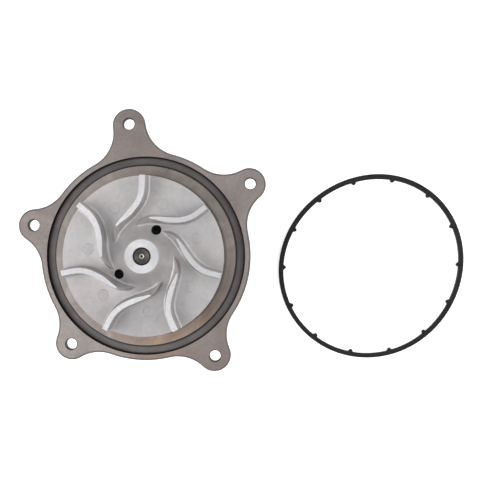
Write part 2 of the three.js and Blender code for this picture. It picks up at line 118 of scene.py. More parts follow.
def new_object(name, verts, faces):
    """An object from vertices in millimetres, with its faces turned outwards."""
    mesh = bpy.data.meshes.new(name)
    mesh.from_pydata((np.asarray(verts, float) * MM).tolist(), [], faces)
    work = bmesh.new()
    work.from_mesh(mesh)
    bmesh.ops.recalc_face_normals(work, faces=work.faces)
    work.to_mesh(mesh)
    work.free()
    return placed(name, mesh)


def rounded(corners, closed=True, steps=5):
    """A path through (r, z, radius) corners, each corner rounded to its radius."""
    count = len(corners)
    path = []
    for i, (x, y, radius) in enumerate(corners):
        here = Vector((x, y))
        if radius == 0 or (not closed and i in (0, count - 1)):
            path.append((x, y))
            continue
        back = Vector(corners[i - 1][:2]) - here
        ahead = Vector(corners[(i + 1) % count][:2]) - here
        half = back.angle(ahead) / 2
        trim = min(radius / math.tan(half), back.length * 0.49, ahead.length * 0.49)
        radius = trim * math.tan(half)
        centre = here + (back.normalized() + ahead.normalized()).normalized() * radius / math.sin(half)
        start = here + back.normalized() * trim - centre
        sweep = start.angle_signed(here + ahead.normalized() * trim - centre)
        for k in range(steps + 1):
            turn = Matrix.Rotation(-sweep * k / steps, 2)
            path.append(tuple(centre + turn @ start))
    return path


def lathe(name, profile, segments=128, at=(0, 0)):
    """A solid of revolution from (radius, height) points; it closes on itself unless it ends on the axis."""
    verts, rings = [], []
    for r, z in profile:
        first = len(verts)
        if r < 1e-6:
            verts.append((at[0], at[1], z))
            rings.append([first] * segments)
            continue
        for k in range(segments):
            x, y = polar(r, 360 * k / segments)
            verts.append((at[0] + x, at[1] + y, z))
        rings.append(list(range(first, first + segments)))
    pairs = list(zip(rings, rings[1:]))
    if profile[0][0] > 1e-6 or profile[-1][0] > 1e-6:
        pairs.append((rings[-1], rings[0]))
    faces = []
    for low, high in pairs:
        for k in range(segments):
            n = (k + 1) % segments
            face = list(dict.fromkeys((low[k], low[n], high[n], high[k])))
            if len(face) > 2:
                faces.append(face)
    return new_object(name, verts, faces)


def spun(name, corners, segments=96, at=(0, 0)):
    """A solid of revolution from (radius, height, rounding) corners."""
    return lathe(name, rounded(corners, closed=corners[0][0] > 0), segments, at)


def stacked(name, rings, capped=True):
    """A closed solid through rings with equal point counts. It has end caps, or joins up in a loop."""
    size, count = len(rings[0]), len(rings)
    verts = [point for ring in rings for point in ring]
    faces = [list(range(size)), list(range(len(verts) - size, len(verts)))] if capped else []
    for level in range(count - 1 if capped else count):
        a, b = level * size, (level + 1) % count * size
        for k in range(size):
            n = (k + 1) % size
            faces.append([a + k, a + n, b + n, b + k])
    return new_object(name, verts, faces)


def turned(obj, degrees, axis="Z"):
    obj.data.transform(Matrix.Rotation(math.radians(degrees), 4, axis))
    return obj


def moved(obj, x=0.0, y=0.0, z=0.0):
    obj.data.transform(Matrix.Translation(Vector((x, y, z)) * MM))
    return obj


def apply_modifiers(obj):
    graph = bpy.context.evaluated_depsgraph_get()
    mesh = bpy.data.meshes.new_from_object(obj.evaluated_get(graph))
    obj.modifiers.clear()
    obj.data = mesh


def combine(base, others, operation):
    """Joins or cuts base with the others, which are used up."""
    for other in others:
        modifier = base.modifiers.new("combine", "BOOLEAN")
        modifier.operation = operation
        modifier.solver = "MANIFOLD"
        modifier.object = other
    apply_modifiers(base)
    for other in others:
        bpy.data.objects.remove(other)
    return base


def join(base, *others):
    return combine(base, others, "UNION")


def cut(base, *others):
    return combine(base, others, "DIFFERENCE")


def crease(obj, degrees=32):
    """Smooth shading, with an edge kept sharp where its faces meet at more than the angle."""
    obj.data.polygons.foreach_set("use_smooth", [True] * len(obj.data.polygons))
    obj.data.set_sharp_from_angle(angle=math.radians(degrees))
    return obj


def cylinder(name, r, bottom, top, at=(0, 0), segments=64):
    return lathe(name, [(0, bottom), (r, bottom), (r, top), (0, top)], segments, at)


def threaded_hole(name, at, bottom, top, thread, mouth, clear=1.0):
    """The cutter of a threaded hole: ring grooves as its thread, countersunk mouths and a bore above."""
    minor, major, pitch = thread
    profile = [(0, bottom - 1), (mouth, bottom - 1), (mouth, bottom), (minor, bottom + mouth - minor)]
    z = bottom + mouth - minor + 0.2
    while z + pitch < top - (mouth - minor):
        profile += [(minor, z), (major, z + pitch * 0.45)]
        profile += [(major, z + pitch * 0.55), (minor, z + pitch * 0.98)]
        z += pitch
    profile += [(minor, top - mouth + minor), (mouth, top), (mouth, top + clear), (0, top + clear)]
    return lathe(name, profile, 64, at)


def smooth_curve(points, count):
    """Points evenly spaced along a Catmull-Rom curve through the given points."""
    p = np.asarray(points, float)
    p = np.vstack([2 * p[0] - p[1], p, 2 * p[-1] - p[-2]])
    fine = []
    for i in range(1, len(p) - 2):
        t = np.linspace(0, 1, 40, endpoint=False)[:, None]
        a, b, c, d = p[i - 1 : i + 3]
        bend = (2 * a - 5 * b + 4 * c - d) * t**2
        twist = (3 * b - a - 3 * c + d) * t**3
        fine.append(0.5 * (2 * b + (c - a) * t + bend + twist))
    fine = np.vstack([*fine, p[-2:-1]])
    along = np.concatenate([[0], np.cumsum(np.linalg.norm(np.diff(fine, axis=0), axis=1))])
    wanted = np.linspace(0, along[-1], count)
    return np.column_stack([np.interp(wanted, along, fine[:, k]) for k in range(p.shape[1])])


def smoothstep(t):
    t = np.clip(t, 0, 1)
    return t * t * (3 - 2 * t)


# ---- materials ----


class Look:
    """A node material with short calls for the procedural detail that these finishes share."""

    def __init__(self, name, metallic, roughness):
        self.material = bpy.data.materials.new(name)
        self.material.use_nodes = True
        self.tree = self.material.node_tree
        self.bsdf = self.tree.nodes["Principled BSDF"]
        self.place = self.node("ShaderNodeTexCoord").outputs["Object"]
        self.bsdf.inputs["Metallic"].default_value = metallic
        self.bsdf.inputs["Roughness"].default_value = roughness

    def node(self, kind, settings=None, **inputs):
        made = self.tree.nodes.new(kind)
        for key, value in (settings or {}).items():
            setattr(made, key, value)
        for key, value in inputs.items():
            self.feed(made.inputs[key.replace("_", " ")], value)
        return made

    def feed(self, socket, value):
        if isinstance(value, bpy.types.NodeSocket):
            self.tree.links.new(value, socket)
        else:
            socket.default_value = value

    def math(self, operation, *values):
        made = self.node("ShaderNodeMath", {"operation": operation})
        for socket, value in zip(made.inputs, values):
            self.feed(socket, value)
        return made.outputs[0]

    def noise(self, size_mm, detail=3.0, roughness=0.55, distortion=0.0):
        made = self.node(
            "ShaderNodeTexNoise", Vector=self.place, Scale=1 / (size_mm * MM), Detail=detail,
            Roughness=roughness, Distortion=distortion,
        )
        return made.outputs["Fac"]

    def cells(self, size_mm):
        made = self.node("ShaderNodeTexVoronoi", Vector=self.place, Scale=1 / (size_mm * MM))
        return made.outputs["Distance"]

    def ramp(self, fac, *stops):
        made = self.node("ShaderNodeValToRGB", Fac=fac)
        elements = made.color_ramp.elements
        while len(elements) < len(stops):
            elements.new(0.5)
        for element, (position, colour) in zip(elements, stops):
            element.position = position
            element.color = (*colour, 1) if isinstance(colour, tuple) else (colour, colour, colour, 1)
        return made.outputs["Color"]

    def mottle(self, noise, *stops):
        return self.ramp(self.noise(*noise), *stops)

    def times(self, tone, *layers):
        """A tone multiplied by one layer after another."""
        for layer in layers:
            made = self.node("ShaderNodeMix", {"data_type": "RGBA", "blend_type": "MULTIPLY"})
            for socket, value in ((0, 1.0), (6, tone), (7, layer)):
                self.feed(made.inputs[socket], value)
            tone = made.outputs[2]
        return tone

    def radius(self):
        """Distance from the shaft's axis, in metres."""
        flat = self.node("ShaderNodeVectorMath", {"operation": "MULTIPLY"})
        self.feed(flat.inputs[0], self.place)
        flat.inputs[1].default_value = (1, 1, 0)
        length = self.node("ShaderNodeVectorMath", {"operation": "LENGTH"})
        self.feed(length.inputs[0], flat.outputs[0])
        return length.outputs["Value"]

    def stain_and_shade_spot(self, spot, reach_mm, tint):
        """A tint round a spot (its radius and angle on the flange's face) that fades out at the reach."""
        apart = self.node("ShaderNodeVectorMath", {"operation": "DISTANCE"})
        self.feed(apart.inputs[0], self.place)
        apart.inputs[1].default_value = Vector((*polar(*spot), FLANGE_FACE_Z)) * MM
        fade = self.math("DIVIDE", apart.outputs["Value"], reach_mm * MM)
        return self.ramp(fade, (0.15, tint), (1.0, (1, 1, 1)))

    def spread(self, value, from_low, from_high, low, high):
        """A value's range stretched to another one."""
        made = self.node("ShaderNodeMapRange", Value=value, To_Min=low, To_Max=high)
        made.inputs["From Min"].default_value = from_low
        made.inputs["From Max"].default_value = from_high
        return made.outputs[0]

    def upward(self, low, high):
        """Painted shade: 1 where the surface faces up, falling to low where it stands upright."""
        facing = self.node("ShaderNodeSeparateXYZ", Vector=self.node("ShaderNodeTexCoord").outputs["Normal"])
        return self.spread(facing.outputs["Z"], 0.1, high, low, 1)

    def tool_rings(self, pitch_mm):
        """Uneven concentric tool marks, from 0 to 1."""
        radius = self.radius()
        wave = self.math("SINE", self.math("MULTIPLY", radius, 2 * math.pi / (pitch_mm * MM)))
        scale = 1 / (pitch_mm * 3 * MM)
        rings = self.node("ShaderNodeTexNoise", {"noise_dimensions": "1D"}, W=radius, Scale=scale)
        return self.math("ADD", self.math("MULTIPLY", wave, 0.25), rings.outputs["Fac"])

    def colour(self, value):
        self.feed(self.bsdf.inputs["Base Color"], value)

    def rough(self, size_mm, low, high):
        """Roughness that varies from low to high, in patches of about the size."""
        self.feed(self.bsdf.inputs["Roughness"], self.spread(self.noise(size_mm), 0.3, 0.7, low, high))

    def bump(self, *layers):
        """Stacks (height, depth in mm, strength) layers of bump."""
        normal = None
        for height, depth_mm, strength in layers:
            made = self.node("ShaderNodeBump", Height=height, Distance=depth_mm * MM, Strength=strength)
            if normal is not None:
                self.feed(made.inputs["Normal"], normal)
            normal = made.outputs["Normal"]
        self.feed(self.bsdf.inputs["Normal"], normal)

    def circular_brush(self, amount):
        tangent = self.node("ShaderNodeTangent", {"direction_type": "RADIAL", "axis": "Z"})
        self.feed(self.bsdf.inputs["Tangent"], tangent.outputs[0])
        self.bsdf.inputs["Anisotropic"].default_value = amount


def iron_face():
    """The flange's ground face: brownish grey and finely grained, with a golden tint towards the bottom, and
    darker towards every ear but the lower left one; the darkening towards the top ear is painted shade.
    """
    look = Look("iron_face", 0.55, 0.6)
    clouds = look.mottle(
        (28, 4, 0.5, 0.8),
        (0.3, (0.235, 0.208, 0.197)), (0.5, (0.27, 0.24, 0.226)), (0.7, (0.315, 0.278, 0.258)),
    )
    speckle = look.mottle((0.55, 5, 0.7), (0.3, 0.84), (0.7, 1.12))
    scuffs = look.mottle((3.5, 4, 0.65, 1.5), (0.35, 0.93), (0.65, 1.05))
    look.colour(look.times(
        clouds, speckle, scuffs,
        look.stain_and_shade_spot((84, 277), 34, (0.97, 0.81, 0.7)),
        # Painted shade: darker towards the top ear, away from the light.
        look.stain_and_shade_spot((95, 92), 60, (0.69, 0.66, 0.65)),
        look.stain_and_shade_spot((94, 303), 66, (0.77, 0.73, 0.72)),
        look.stain_and_shade_spot((97, 34), 40, (0.84, 0.83, 0.82)),
        look.stain_and_shade_spot((92, 160), 62, (0.88, 0.86, 0.86)),
    ))
    look.rough(2.2, 0.5, 0.7)
    look.bump((look.noise(0.6, 6, 0.7), 0.08, 0.6), (look.cells(1.6), 0.03, 0.25))
    return look.material


def iron_skin():
    """As-cast sides and back: darker and rougher than the faces. On the rounded edge of the machined face
    that darkness is also painted shade, a dark line along the edge.
    """
    look = Look("iron_skin", 0.45, 0.7)
    patches = look.mottle((18, 5), (0.3, (0.12, 0.106, 0.098)), (0.72, (0.175, 0.155, 0.143)))
    speckle = look.mottle((1.1, 5, 0.7), (0.3, 0.7), (0.72, 1.2))
    look.colour(look.times(patches, speckle))
    look.rough(3, 0.6, 0.85)
    look.bump((look.noise(1.3, 6, 0.65), 0.3, 0.75), (look.noise(6, 3), 0.3, 0.4))
    return look.material


def iron_land():
    """The land inside the groove: turned iron with brownish patches and tints, and a painted shadow line at
    the boss's foot, under the impeller's rim.
    """
    look = Look("iron_land", 0.75, 0.46)
    rings = look.tool_rings(0.5)
    patches = look.mottle(
        (22, 3, 0.6, 1.0),
        (0.32, (0.23, 0.2, 0.182)), (0.5, (0.275, 0.243, 0.222)), (0.68, (0.34, 0.305, 0.282)),
    )
    grit = look.mottle((0.9, 5, 0.75), (0.3, 0.86), (0.7, 1.1))
    tool_marks = look.ramp(rings, (0.2, 0.94), (0.85, 1.03))
    # Painted shadow: a dark ring on the land just outside the boss's foot, under the impeller's rim.
    painted_shade = look.ramp(look.math("DIVIDE", look.radius(), GROOVE_INNER_R * MM), (0.888, 0.56), (0.906, 1.0))
    look.colour(look.times(
        patches, tool_marks,
        look.stain_and_shade_spot((66, 282), 50, (1.12, 0.95, 0.81)),
        look.stain_and_shade_spot((66, 322), 40, (0.78, 0.72, 0.68)),
        look.stain_and_shade_spot((66, 215), 60, (1.14, 1.13, 1.17)),
        look.stain_and_shade_spot((66, 10), 60, (1.1, 1.08, 1.08)),
        look.stain_and_shade_spot((66, 85), 58, (0.82, 0.8, 0.79)),
        painted_shade, grit,
    ))
    look.rough(1.4, 0.4, 0.56)
    look.bump((rings, 0.012, 0.35), (look.noise(0.7, 4), 0.04, 0.5))
    look.circular_brush(0.12)
    return look.material


def iron_groove():
    """The seal ring's groove: turned, darker towards the top left, with lines of painted shade in both
    corners and up the outer wall.
    """
    look = Look("iron_groove", 0.6, 0.55)
    across = look.spread(look.radius(), GROOVE_INNER_R * MM, GROOVE_OUTER_R * MM, 0, 1)
    base = look.mottle((12, 4), (0.3, (0.112, 0.101, 0.099)), (0.7, (0.152, 0.138, 0.136)))
    # Painted shade: dark lines in the groove's corners and up its outer wall.
    painted_shade = look.ramp(
        across, (0.15, 0.22), (0.25, 0.92), (0.5, 1.0), (0.8, 0.93), (0.88, 0.38), (0.95, 0.12),
    )
    look.colour(look.times(base, look.stain_and_shade_spot((73, 108), 62, (0.74, 0.74, 0.75)), painted_shade))
    look.rough(1.4, 0.5, 0.68)
    look.bump((look.tool_rings(0.45), 0.012, 0.4), (look.noise(0.8, 4), 0.05, 0.5))
    return look.material


def cast_aluminium():
    """The impeller's die-cast skin: pale grey with faint clouds, with painted light near the hub and painted
    shade on the walls and towards the lower left.
    """
    look = Look("cast_aluminium", 0.55, 0.48)
    clouds = look.mottle(
        (26, 3, 0.5, 0.6),
        (0.3, (0.402, 0.394, 0.404)), (0.5, (0.428, 0.412, 0.412)), (0.7, (0.453, 0.43, 0.425)),
    )
    speckle = look.mottle((0.6, 4, 0.7), (0.3, 0.93), (0.7, 1.05))
    flow = look.mottle((7, 4, 0.6, 1.2), (0.35, (0.93, 0.935, 0.945)), (0.65, (1.05, 1.045, 1.04)))
    # Painted light: lighter towards the hub, darker towards the rim.
    painted_light_near_hub = look.ramp(look.math("DIVIDE", look.radius(), RIM_R * MM), (0.55, 1.07), (0.9, 0.97))
    # Painted shade: darker towards the lower left, where the key light falls.
    painted_shade_lower_left = look.stain_and_shade_spot((54, 240), 62, (0.81, 0.79, 0.79))
    # upward darkens the walls as painted shade.
    look.colour(look.times(clouds, speckle, flow, painted_shade_lower_left, painted_light_near_hub, look.upward(0.9, 0.5)))
    look.rough(5, 0.42, 0.56)
    look.bump((look.noise(0.6, 5, 0.6), 0.035, 0.5), (look.noise(7, 2), 0.2, 0.25))
    return look.material


def milled_aluminium():
    """The vanes' skimmed tops, the hub's face and the disc's turned rim: brighter, with fine tool marks."""
    look = Look("milled_aluminium", 0.9, 0.34)
    rings = look.tool_rings(0.4)
    look.colour(look.ramp(rings, (0.2, (0.57, 0.568, 0.584)), (0.85, (0.69, 0.687, 0.708))))
    look.rough(2, 0.28, 0.42)
    look.bump((rings, 0.012, 0.5), (look.noise(0.8, 3), 0.02, 0.3))
    look.circular_brush(0.3)
    return look.material


def turned_steel(name, dark, light, roughness, pitch):
    """Lathe-turned or ground steel."""
    look = Look(name, 0.9, roughness)
    rings = look.tool_rings(pitch)
    tone = look.mottle((9, 3), (0.35, dark), (0.68, light))
    look.colour(look.times(tone, look.ramp(rings, (0.2, 0.78), (0.85, 1.15))))
    look.rough(1.5, roughness - 0.06, roughness + 0.1)
    look.bump((rings, 0.02, 0.7), (look.noise(0.5, 3), 0.02, 0.3))
    look.circular_brush(0.4)
    return look.material


def shaft_steel():
    return turned_steel("shaft_steel", (0.055, 0.048, 0.046), (0.085, 0.075, 0.072), 0.42, 0.35)


def hub_steel():
    return turned_steel("hub_steel", (0.30, 0.30, 0.305), (0.42, 0.42, 0.425), 0.34, 0.5)


def painted_shade_metal():
    """Near-black metal as painted shade, where little light reaches: threads, hole edges, the boss's top, the
    seal cup's outside and the shaft's end.
    """
    look = Look("painted_shade_metal", 0.6, 0.5)
    look.colour(look.mottle((1.5, 3), (0.3, 0.012), (0.7, 0.03)))
    look.rough(0.8, 0.4, 0.6)
    look.bump((look.noise(0.5, 3), 0.02, 0.5))
    return look.material


def polished_steel():
    look = Look("polished_steel", 1.0, 0.16)
    look.colour(look.mottle((4,), (0.3, (0.58, 0.585, 0.6)), (0.7, (0.66, 0.665, 0.68))))
    look.rough(1, 0.12, 0.24)
    look.bump((look.noise(0.3, 3), 0.004, 0.4))
    return look.material


def pressed_steel():
    look = Look("pressed_steel", 0.95, 0.3)
    look.colour(look.mottle((5,), (0.3, (0.52, 0.49, 0.4)), (0.7, (0.62, 0.59, 0.5))))
    look.rough(1.5, 0.24, 0.4)
    look.bump((look.noise(0.6, 4), 0.015, 0.4))
    return look.material


def black_rubber():
    """Moulded rubber: almost black, matt, with a faint bloom and fine mould texture."""
    look = Look("black_rubber", 0.0, 0.62)
    look.colour(look.mottle((8, 4), (0.3, (0.005, 0.005, 0.0052)), (0.72, (0.012, 0.012, 0.0122))))
    look.rough(1.2, 0.52, 0.75)
    look.bump((look.noise(0.35, 4), 0.03, 0.45), (look.noise(2.5, 2), 0.06, 0.3))
    look.bsdf.inputs["Specular IOR Level"].default_value = 0.22
    return look.material


def carbon_graphite():
    look = Look("carbon_graphite", 0.1, 0.4)
    look.colour(look.mottle((0.8, 5), (0.3, 0.02), (0.7, 0.045)))
    look.rough(0.8, 0.34, 0.5)
    look.bump((look.tool_rings(0.3), 0.006, 0.5))
    return look.material


def ceramic():
    look = Look("ceramic", 0.0, 0.28)
    look.colour(look.mottle((3,), (0.3, (0.70, 0.66, 0.58)), (0.7, (0.77, 0.73, 0.66))))
    look.rough(1, 0.2, 0.36)
    look.bump((look.noise(0.5, 3), 0.01, 0.4))
    return look.material


def cage_plastic():
    look = Look("cage_plastic", 0.0, 0.5)
    look.colour(look.mottle((2.5, 4), (0.3, (0.14, 0.105, 0.05)), (0.7, (0.19, 0.145, 0.075))))
    look.rough(1, 0.42, 0.6)
    look.bump((look.noise(0.5, 3), 0.02, 0.4))
    return look.material


LOOKS = {make.__name__: make() for make in (
    iron_face, iron_skin, iron_land, iron_groove, cast_aluminium, milled_aluminium, painted_shade_metal, shaft_steel,
    hub_steel, polished_steel, pressed_steel, black_rubber, carbon_graphite, ceramic, cage_plastic,
)}


class Faces:
    """How near, far, low and high each face of a mesh reaches, in mm, and how far it turns upwards."""

    def __init__(self, mesh):
        count = len(mesh.polygons)
        corners = np.zeros(len(mesh.loops), int)
        starts = np.zeros(count, int)
        places = np.zeros(3 * len(mesh.vertices))
        normal = np.zeros(3 * count)
        mesh.loops.foreach_get("vertex_index", corners)
        mesh.polygons.foreach_get("loop_start", starts)
        mesh.vertices.foreach_get("co", places)
        mesh.polygons.foreach_get("normal", normal)
        self.starts = starts
        self.points = places.reshape(-1, 3)[corners] / MM
        self.near = np.minimum.reduceat(self.distance(), starts)
        self.far = np.maximum.reduceat(self.distance(), starts)
        self.low = np.minimum.reduceat(self.points[:, 2], starts)
        self.high = np.maximum.reduceat(self.points[:, 2], starts)
        self.up = normal.reshape(-1, 3)[:, 2]

    def distance(self, axis=(0, 0)):
        """Distance of every face corner from an upright axis."""
        return np.hypot(self.points[:, 0] - axis[0], self.points[:, 1] - axis[1])

    def within(self, axis, radius):
        """Which faces lie wholly within a radius of an upright axis."""
        return np.maximum.reduceat(self.distance(axis), self.starts) < radius


def paint(obj, names, choose=None):
    """Gives an object its looks; choose(faces) gives each face's index in names."""
    obj.data.materials.clear()
    for name in names:
        obj.data.materials.append(LOOKS[name])
    index = choose(Faces(obj.data)) if choose else np.zeros(len(obj.data.polygons))
    obj.data.polygons.foreach_set("material_index", index.astype(np.int32))
    obj.data.update()
    return obj


def stand_for(piece, node, body):
    """The piece rides on a body and replaces a CAD node, which it hides."""
    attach(piece, body)
    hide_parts(node)
    return piece


def plain_piece(piece, look, node, body):
    """Shades a piece that has one look throughout, and puts it in its CAD node's place."""
    return stand_for(paint(crease(piece), [look]), node, body)


# ---- housing ----


def arc(centre, radius, start, end, count, backwards=False):
    """Points on an arc from its start up to, but not at, its end; backwards is clockwise."""
    turn = -((start - end) % (2 * math.pi)) if backwards else (end - start) % (2 * math.pi)
    angles = np.linspace(start, start + turn, count, endpoint=False)
    return [(centre[0] + radius * math.cos(a), centre[1] + radius * math.sin(a)) for a in angles]


def flange_outline(inset):
    """The flange's outline, moved inwards by the inset: base circle, hollow fillets and round ear tips."""
    reach = FLANGE_BASE_R + EAR_FILLET_R

    def fillet_spread(ear_r):
        tip = ear_r - EAR_SETBACK
        side = EAR_TIP_R + EAR_FILLET_R
        return math.acos((tip**2 + reach**2 - side**2) / (2 * tip * reach))

    points = []
    for i, (ear_r, degrees) in enumerate(EARS):
        axis = math.radians(degrees)
        spread = fillet_spread(ear_r)
        tip = polar(ear_r - EAR_SETBACK, degrees)
        before, after = [polar(reach, degrees + math.degrees(turn)) for turn in (-spread, spread)]
        start, end = [math.atan2(tip[1] - y, tip[0] - x) for x, y in (before, after)]
        next_r, next_degrees = EARS[(i + 1) % len(EARS)]
        next_start = math.radians(next_degrees) - fillet_spread(next_r)
        fillet_r = EAR_FILLET_R + inset
        points += arc(before, fillet_r, axis - spread + math.pi, start, 16, backwards=True)
        points += arc(tip, EAR_TIP_R - inset, start + math.pi, end + math.pi, 24)
        points += arc(after, fillet_r, end, axis + spread + math.pi, 16, backwards=True)
        points += arc((0, 0), FLANGE_BASE_R - inset, axis + spread, next_start, 16)
    return points


def flange_plate():
    """The flange with its ears, its edge rounded at the back and worn at the machined face."""
    levels = rounded(
        [(9, EAR_BACK_Z, 0), (0.5, EAR_BACK_Z, 1.4), (0, FLANGE_FACE_Z, EDGE_R), (9, FLANGE_FACE_Z, 0)],
        closed=False,
    )[1:-1]
    return stacked("housing_casting", [[(x, y, z) for x, y in flange_outline(inset)] for inset, z in levels])


def back_ring():
    """The thicker ring behind the flange, drafted towards the back."""
    return spun("back_ring", [
        (0, FLANGE_BACK_Z, 0), (BACK_RING_FOOT_R, FLANGE_BACK_Z, 1.4),
        (BACK_RING_ROOT_R - 0.6, EAR_BACK_Z + 0.1, 0.4), (BACK_RING_ROOT_R + 0.2, EAR_BACK_Z + 0.4, 0),
        (BACK_RING_ROOT_R, EAR_BACK_Z + 2, 0), (0, EAR_BACK_Z + 2, 0),
    ], 192)


def boss():
    """The raised seat under the impeller, with a swept foot."""
    return spun("boss", [
        (0, FLANGE_BACK_Z + 4, 0), (BOSS_FOOT_R + 4, FLANGE_BACK_Z + 4, 0),
        (BOSS_FOOT_R + 4, FLANGE_FACE_Z - 0.02, 0), (BOSS_FOOT_R, FLANGE_FACE_Z - 0.02, 3),
        (BOSS_TOP_R, BOSS_TOP_Z, 1.2), (0, BOSS_TOP_Z, 0),
    ], 128)


def hollow():
    """The space behind the boss, round the snout."""
    return spun("hollow", [
        (SNOUT_R - 3, SNOUT_BOTTOM_Z, 0), (WALL_R + 4.5, SNOUT_BOTTOM_Z, 0), (WALL_R + 2.5, FLANGE_BACK_Z, 0),
        (WALL_R, ROOF_Z, 4), (SNOUT_R - 3, ROOF_Z, 0),
    ], 128)


def snout():
    return spun("snout", [
        (0, SNOUT_BOTTOM_Z, 0), (SNOUT_R, SNOUT_BOTTOM_Z, 1.2), (SNOUT_ROOT_R - 0.6, ROOF_Z - 3, 3),
        (SNOUT_ROOT_R + 3, ROOF_Z + 0.5, 0), (SNOUT_ROOT_R + 3, ROOF_Z + 2, 0), (0, ROOF_Z + 2, 0),
    ], 128)


def rib(degrees):
    """A web between the snout and the flange's inner wall, with a rounded lower edge."""
    run = [(SNOUT_R - 2, 17.0), (SNOUT_R + 1.5, 18.0), (WALL_R + 2.5, FLANGE_BACK_Z + 1.2)]
    top = ROOF_Z + 1.5
    section = [
        (-RIB_THICK / 2 - 0.5, None), (-RIB_THICK / 2 + 0.1, 1.6), (-RIB_THICK / 4, 0.3), (0, 0),
        (RIB_THICK / 4, 0.3), (RIB_THICK / 2 - 0.1, 1.6), (RIB_THICK / 2 + 0.5, None),
    ]
    rings = [
        [(r, side, top if lift is None else z + lift) for side, lift in section]
        for r, z in run
    ]
    return turned(stacked("rib", rings), degrees)


def housing_bore():
    """Everything bored from the housing: snap ring slot, bearing bore, web hole and seal bore."""
    return spun("bore", [
        (0, SNOUT_BOTTOM_Z - 2, 0), (BEARING_BORE_R + 1, SNOUT_BOTTOM_Z - 2, 0),
        (BEARING_BORE_R + 1, SNOUT_BOTTOM_Z, 0), (BEARING_BORE_R, SNOUT_BOTTOM_Z + 0.8, 0),
        (BEARING_BORE_R, SLOT_BOTTOM_Z, 0), (SLOT_R, SLOT_BOTTOM_Z, 0), (SLOT_R, SLOT_TOP_Z, 0),
        (BEARING_BORE_R, SLOT_TOP_Z, 0), (BEARING_BORE_R, WEB_BOTTOM_Z, 0), (WEB_HOLE_R, WEB_BOTTOM_Z, 0.5),
        (WEB_HOLE_R, WEB_TOP_Z, 0.5), (SEAL_BORE_R, WEB_TOP_Z, 1), (SEAL_BORE_R, BOSS_TOP_Z - 0.3, 0),
        (SEAL_BORE_R + 0.6, BOSS_TOP_Z, 0), (SEAL_BORE_R + 0.6, BOSS_TOP_Z + 2, 0), (0, BOSS_TOP_Z + 2, 0),
    ])


def seal_groove():
    return spun("groove", [
        (GROOVE_INNER_R, GROOVE_FLOOR_Z, 0.5), (GROOVE_OUTER_R, GROOVE_FLOOR_Z, 0.5),
        (GROOVE_OUTER_R, FLANGE_FACE_Z - 0.25, 0), (GROOVE_OUTER_R + 0.25, FLANGE_FACE_Z, 0),
        (GROOVE_OUTER_R + 0.25, FLANGE_FACE_Z + 1, 0), (GROOVE_INNER_R - 0.1, FLANGE_FACE_Z + 1, 0),
        (GROOVE_INNER_R - 0.1, FLANGE_FACE_Z, 0), (GROOVE_INNER_R, FLANGE_FACE_Z - 0.1, 0),
    ], 256)


def bolt_hole(ear):
    wide, bottom = BOLT_HOLE_R + HOLE_EDGE, EAR_BACK_Z - PAD_THICK
    return lathe("hole", [
        (0, bottom - 1), (wide, bottom - 1), (wide, bottom), (BOLT_HOLE_R, bottom + HOLE_EDGE),
        (BOLT_HOLE_R, FLANGE_FACE_Z - HOLE_EDGE), (wide, FLANGE_FACE_Z), (wide, FLANGE_FACE_Z + 1),
        (0, FLANGE_FACE_Z + 1),
    ], 64, polar(*ear))


def make_housing():
    casting = cut(join(flange_plate(), back_ring(), boss()), hollow())
    pads = [
        spun("pad", [
            (0, EAR_BACK_Z - PAD_THICK, 0), (PAD_R, EAR_BACK_Z - PAD_THICK, 0.5),
            (PAD_R + 0.4, EAR_BACK_Z + 2, 0), (0, EAR_BACK_Z + 2, 0),
        ], 64, polar(r, degrees))
        for r, degrees in EARS
    ]
    join(casting, snout(), *[rib(degrees) for _, degrees in EARS], *pads)
    weep = moved(turned(cylinder("weep", WEEP_R, -7, 7), 90, "Y"), SEAL_BORE_R + 5, 0, WEEP_Z)
    cut(casting, housing_bore(), seal_groove(), turned(weep, WEEP_DEG), *map(bolt_hole, EARS))

    def finish(f):
        face = (f.low > FLANGE_FACE_Z - 0.01) & (f.high < FLANGE_FACE_Z + 0.01)
        in_groove = (f.near > GROOVE_INNER_R - 0.1) & (f.far < GROOVE_OUTER_R + 0.3)
        groove = in_groove & (f.low > GROOVE_FLOOR_Z - 0.1)
        bored = f.far < BEARING_BORE_R + 0.1
        boss_top = f.low > BOSS_TOP_Z - 0.4
        land = face & (f.far < GROOVE_INNER_R + 0.1)
        at_hole = np.any([f.within(polar(*ear), BOLT_HOLE_R + HOLE_EDGE + 0.1) for ear in EARS], axis=0)
        hole_edge = at_hole & (f.low > FLANGE_FACE_Z - HOLE_EDGE - 0.1)
        # The hole edges and the boss's top get near-black metal as painted shade.
        return np.select([groove, land, boss_top | hole_edge, bored, face], [3, 2, 4, 2, 0], 1)

    paint(crease(casting), ["iron_face", "iron_skin", "iron_land", "iron_groove", "painted_shade_metal"], finish)
    return stand_for(casting, "pump_housing", "housing")


# ---- impeller ----

DISC_LINE = smooth_curve(DISC_CURVE, 44)


def disc_height(radius):
    """The height of the disc's upper surface at a radius."""
    return np.interp(radius, DISC_LINE[::-1, 0], DISC_LINE[::-1, 1])


def impeller_blank():
    """The disc and hub as cast, larger than the turned rim."""
    bore = SHAFT_END_R + 0.3
    upper = [(RIM_R + 1.5, RIM_Z), *map(tuple, DISC_LINE)]
    lower = rounded([
        (HUB_FACE_R + 0.5, HUB_FACE_Z, 0), (bore + 0.15, HUB_FACE_Z, 0), (bore, HUB_FACE_Z - 0.15, 0),
        (bore, RECESS_Z, 0), (RECESS_R, RECESS_Z, 0.6), (RECESS_R, BACK_Z, 0.4), (RIM_R + 1.5, BACK_Z, 0),
    ], closed=False)
    return lathe("impeller_casting", upper + lower[1:], 256)


